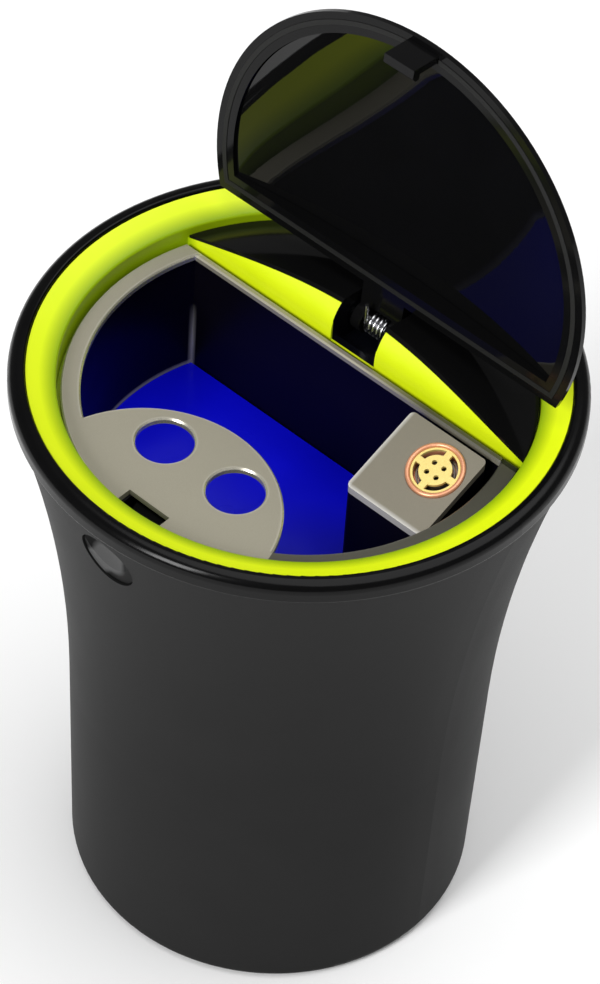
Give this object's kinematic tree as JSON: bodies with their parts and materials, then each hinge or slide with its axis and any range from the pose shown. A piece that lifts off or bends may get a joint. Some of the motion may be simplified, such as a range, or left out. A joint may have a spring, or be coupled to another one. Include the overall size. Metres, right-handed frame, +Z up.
{
  "type": "car ashtray",
  "caption": "Cup-holder ashtray: flared cup, domed lid on a sprung hinge with a push-button latch, deep lit tub, snuffer holes and an electric lighter that lifts out.",
  "frame": {"origin": "centre of the foot pad's underside, on the surface that the cup stands on", "axes": "+Z up the cup, +Y to the lid's hinge, -Y to the release button, +X to the lighter"},
  "size_m": [0.0874, 0.0874, 0.1585],
  "materials": {
    "cup_satin": "satin dark grey",
    "gloss_black": "polished black",
    "lime": "satin lime",
    "silver": "satin silver paint",
    "tub_dark": "dark navy",
    "lens_blue": "clear blue, lit from below",
    "steel": "bright",
    "copper": "copper plated",
    "brass": "plain brass",
    "rubber": "matt black",
    "board": "green lacquer",
    "cell": "plated can",
    "lamp": "white moulding"
  },
  "bodies": {
    "base": {"outer_cup": "cup_satin", "foot_pad": "rubber", "rim_ring": "gloss_black", "accent_ring": "lime", "rear_deck": "gloss_black", "deck_screws": "steel", "hinge_pin": "steel", "hinge_spring": "steel", "tray_plate": "silver", "ash_tub": "tub_dark", "floor_lens": "lens_blue", "led_board": "board", "led_lamps": "lamp", "board_screws": "steel", "cell_holder": "tub_dark", "lamp_cell": "cell", "button_spring": "steel", "lighter_case": "silver", "lighter_cap": "silver", "lighter_base": "tub_dark", "lighter_board": "board", "lighter_cell": "cell", "coil_cup": "copper", "coil_plate": "brass", "coil_ribbon": "steel"},
    "lid": {"lid_shell": "gloss_black", "lid_liner": "gloss_black", "lid_seal": "rubber"},
    "button": {"release_button": "cup_satin", "latch_slide": "gloss_black"},
    "lighter_key": {"lighter_button": "tub_dark"}
  },
  "joints": [
    {"name": "lid_hinge", "type": "hinge", "parent": "base", "child": "lid", "pos_m": [0, 0.0184, 0.1045], "axis": [1, 0, 0], "range_deg": [0, 95.3], "stiffness_Nm_per_rad": 0.01, "springref_deg": -28.65, "deforming": ["hinge_spring"]},
    {"name": "button_press", "type": "slide", "parent": "base", "child": "button", "axis": [0, 1, 0], "range_m": [0, 0.0012], "stiffness_N_per_m": 400, "springref_m": -0.001, "deforming": ["button_spring"]},
    {"name": "lighter_press", "type": "slide", "parent": "base", "child": "lighter_key", "axis": [1, 0, 0], "range_m": [0, 0.0007], "stiffness_N_per_m": 500, "springref_m": -0.0005}
  ]
}
